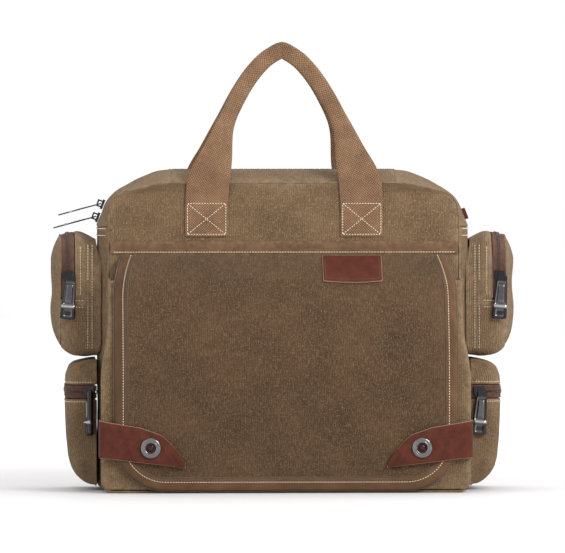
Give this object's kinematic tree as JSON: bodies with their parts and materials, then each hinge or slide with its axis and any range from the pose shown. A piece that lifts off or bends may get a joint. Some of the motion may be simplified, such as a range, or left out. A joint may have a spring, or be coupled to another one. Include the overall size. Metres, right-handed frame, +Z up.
{
  "type": "messenger bag",
  "caption": "Canvas messenger bag with a zipped main compartment, a front pocket under a flap held by leather snap tabs, webbing handles and zipped side pockets.",
  "frame": {"origin": "centre of the bag's bounding box in plan, on the floor that it stands on", "axes": "+X to the wearer's right when facing the flap, along the bag's width; the flap faces -Y; +Z up"},
  "size_m": [0.414, 0.15, 0.3998],
  "materials": {
    "canvas": "matte",
    "flap_canvas": "matte",
    "twill": "matte",
    "webbing": "matte",
    "leather": "satin",
    "zip_tape": "matte",
    "gunmetal": "gloss",
    "lining": "matte",
    "board": "matte"
  },
  "bodies": {
    "bag": {"main_front_panel": "canvas", "main_back_panel": "canvas", "base_gusset": "canvas", "side_gusset_left": "canvas", "side_gusset_right": "canvas", "zip_gusset_corner_left": "canvas", "zip_gusset_corner_right": "canvas", "front_pocket_panel": "canvas", "front_pocket_gusset": "canvas", "base_board": "board", "main_lining": "lining", "top_band": "twill", "zip_end_tab": "leather", "handle_front_foot_left": "webbing", "handle_front_foot_right": "webbing", "handle_rear_foot_left": "webbing", "handle_rear_foot_right": "webbing", "upper_pocket_left_body": "canvas", "lower_pocket_left_shell": "canvas", "upper_pocket_left_zip_inner": "zip_tape", "lower_pocket_left_zip_lower": "zip_tape", "upper_pocket_right_body": "canvas", "lower_pocket_right_shell": "canvas", "upper_pocket_right_zip_inner": "zip_tape", "lower_pocket_right_zip_lower": "zip_tape"},
    "flap": {"flap": "flap_canvas", "flap_binding": "twill", "flap_label": "leather", "snap_stud_left": "gunmetal", "snap_stud_right": "gunmetal"},
    "handle_front": {"handle_front": "webbing"},
    "handle_rear": {"handle_rear": "webbing"},
    "strip_front": {"zip_strip_front": "canvas", "main_zip_front": "zip_tape"},
    "strip_rear": {"zip_strip_rear": "canvas", "main_zip_rear": "zip_tape"},
    "corner_tab_left": {"corner_tab_left": "leather", "snap_ring_left": "gunmetal"},
    "corner_tab_right": {"corner_tab_right": "leather", "snap_ring_right": "gunmetal"},
    "main_zip_first_slider": {"main_zip_first_slider": "gunmetal"},
    "main_zip_first_pull": {"main_zip_first_pull": "gunmetal"},
    "main_zip_second_slider": {"main_zip_second_slider": "gunmetal"},
    "main_zip_second_pull": {"main_zip_second_pull": "gunmetal"},
    "upper_pocket_left_slider": {"upper_pocket_left_slider": "gunmetal"},
    "upper_pocket_left_pull": {"upper_pocket_left_pull": "gunmetal"},
    "upper_pocket_left_lid": {"upper_pocket_left_lid": "canvas", "upper_pocket_left_zip_outer": "zip_tape"},
    "lower_pocket_left_slider": {"lower_pocket_left_slider": "gunmetal"},
    "lower_pocket_left_pull": {"lower_pocket_left_pull": "gunmetal"},
    "lower_pocket_left_cap": {"lower_pocket_left_cap": "canvas", "lower_pocket_left_zip_upper": "zip_tape"},
    "upper_pocket_right_slider": {"upper_pocket_right_slider": "gunmetal"},
    "upper_pocket_right_pull": {"upper_pocket_right_pull": "gunmetal"},
    "upper_pocket_right_lid": {"upper_pocket_right_lid": "canvas", "upper_pocket_right_zip_outer": "zip_tape"},
    "lower_pocket_right_slider": {"lower_pocket_right_slider": "gunmetal"},
    "lower_pocket_right_pull": {"lower_pocket_right_pull": "gunmetal"},
    "lower_pocket_right_cap": {"lower_pocket_right_cap": "canvas", "lower_pocket_right_zip_upper": "zip_tape"}
  },
  "joints": [
    {"name": "flap_open", "type": "hinge", "parent": "bag", "child": "flap", "pos_m": [0, -0.0239, 0.2095], "axis": [-1, 0, 0], "range_deg": [0, 95]},
    {"name": "handle_front_swing", "type": "hinge", "parent": "bag", "child": "handle_front", "pos_m": [0, -0.0236, 0.2592], "axis": [1, 0, 0], "range_deg": [0, 90]},
    {"name": "handle_rear_swing", "type": "hinge", "parent": "bag", "child": "handle_rear", "pos_m": [0, 0.074, 0.2592], "axis": [-1, 0, 0], "range_deg": [0, 90]},
    {"name": "zip_strip_front_fold", "type": "hinge", "parent": "bag", "child": "strip_front", "pos_m": [0, -0.0182, 0.2734], "axis": [-1, 0, 0], "range_deg": [0, 55]},
    {"name": "zip_strip_rear_fold", "type": "hinge", "parent": "bag", "child": "strip_rear", "pos_m": [0, 0.0686, 0.2734], "axis": [1, 0, 0], "range_deg": [0, 55]},
    {"name": "corner_tab_left_open", "type": "hinge", "parent": "bag", "child": "corner_tab_left", "pos_m": [-0.1647, -0.0469, 0.046], "axis": [0, 0, -1], "range_deg": [0, 110], "deforming": ["corner_tab_left"]},
    {"name": "corner_tab_right_open", "type": "hinge", "parent": "bag", "child": "corner_tab_right", "pos_m": [0.1647, -0.0469, 0.046], "axis": [0, 0, 1], "range_deg": [0, 110], "deforming": ["corner_tab_right"]},
    {"name": "main_zip_first_slide", "type": "slide", "parent": "bag", "child": "main_zip_first_slider", "axis": [0.3552, 0, 0.9348], "range_m": [0, 0.01]},
    {"name": "main_zip_first_pull_swing", "type": "hinge", "parent": "main_zip_first_slider", "child": "main_zip_first_pull", "pos_m": [-0.16276, 0.0252, 0.2551], "axis": [0, 1, 0], "range_deg": [0, 60]},
    {"name": "main_zip_second_slide", "type": "slide", "parent": "bag", "child": "main_zip_second_slider", "axis": [0.3552, 0, 0.9348], "range_m": [0, 0.002]},
    {"name": "main_zip_second_pull_swing", "type": "hinge", "parent": "main_zip_second_slider", "child": "main_zip_second_pull", "pos_m": [-0.16713, 0.0252, 0.2436], "axis": [0, 1, 0], "range_deg": [0, 60]},
    {"name": "upper_pocket_left_slide", "type": "slide", "parent": "bag", "child": "upper_pocket_left_slider", "axis": [0, 0, 1], "range_m": [0, 0.022]},
    {"name": "upper_pocket_left_pull_swing", "type": "hinge", "parent": "upper_pocket_left_slider", "child": "upper_pocket_left_pull", "pos_m": [-0.19225, -0.0187, 0.191], "axis": [-1, 0, 0], "range_deg": [0, 150]},
    {"name": "upper_pocket_left_lid_open", "type": "hinge", "parent": "bag", "child": "upper_pocket_left_lid", "pos_m": [-0.207, 0.0252, 0.17], "axis": [0, -1, 0], "range_deg": [0, 70]},
    {"name": "lower_pocket_left_slide", "type": "slide", "parent": "bag", "child": "lower_pocket_left_slider", "axis": [-1, 0, 0], "range_m": [0, 0.008]},
    {"name": "lower_pocket_left_pull_swing", "type": "hinge", "parent": "lower_pocket_left_slider", "child": "lower_pocket_left_pull", "pos_m": [-0.174, -0.0212, 0.088], "axis": [-1, 0, 0], "range_deg": [0, 150]},
    {"name": "lower_pocket_left_cap_lift", "type": "hinge", "parent": "bag", "child": "lower_pocket_left_cap", "pos_m": [-0.165, 0.0252, 0.115], "axis": [0, 1, 0], "range_deg": [0, 18]},
    {"name": "upper_pocket_right_slide", "type": "slide", "parent": "bag", "child": "upper_pocket_right_slider", "axis": [0, 0, 1], "range_m": [0, 0.022]},
    {"name": "upper_pocket_right_pull_swing", "type": "hinge", "parent": "upper_pocket_right_slider", "child": "upper_pocket_right_pull", "pos_m": [0.19225, -0.0187, 0.191], "axis": [-1, 0, 0], "range_deg": [0, 150]},
    {"name": "upper_pocket_right_lid_open", "type": "hinge", "parent": "bag", "child": "upper_pocket_right_lid", "pos_m": [0.207, 0.0252, 0.17], "axis": [0, 1, 0], "range_deg": [0, 70]},
    {"name": "lower_pocket_right_slide", "type": "slide", "parent": "bag", "child": "lower_pocket_right_slider", "axis": [1, 0, 0], "range_m": [0, 0.008]},
    {"name": "lower_pocket_right_pull_swing", "type": "hinge", "parent": "lower_pocket_right_slider", "child": "lower_pocket_right_pull", "pos_m": [0.174, -0.0212, 0.088], "axis": [-1, 0, 0], "range_deg": [0, 150]},
    {"name": "lower_pocket_right_cap_lift", "type": "hinge", "parent": "bag", "child": "lower_pocket_right_cap", "pos_m": [0.165, 0.0252, 0.115], "axis": [0, -1, 0], "range_deg": [0, 18]}
  ],
  "couplings": [
    {"joint": "corner_tab_left_open", "follows": "flap_open", "ratio": 1.15},
    {"joint": "corner_tab_right_open", "follows": "flap_open", "ratio": 1.15},
    {"joint": "main_zip_second_pull_swing", "follows": "main_zip_first_pull_swing", "ratio": 1}
  ]
}
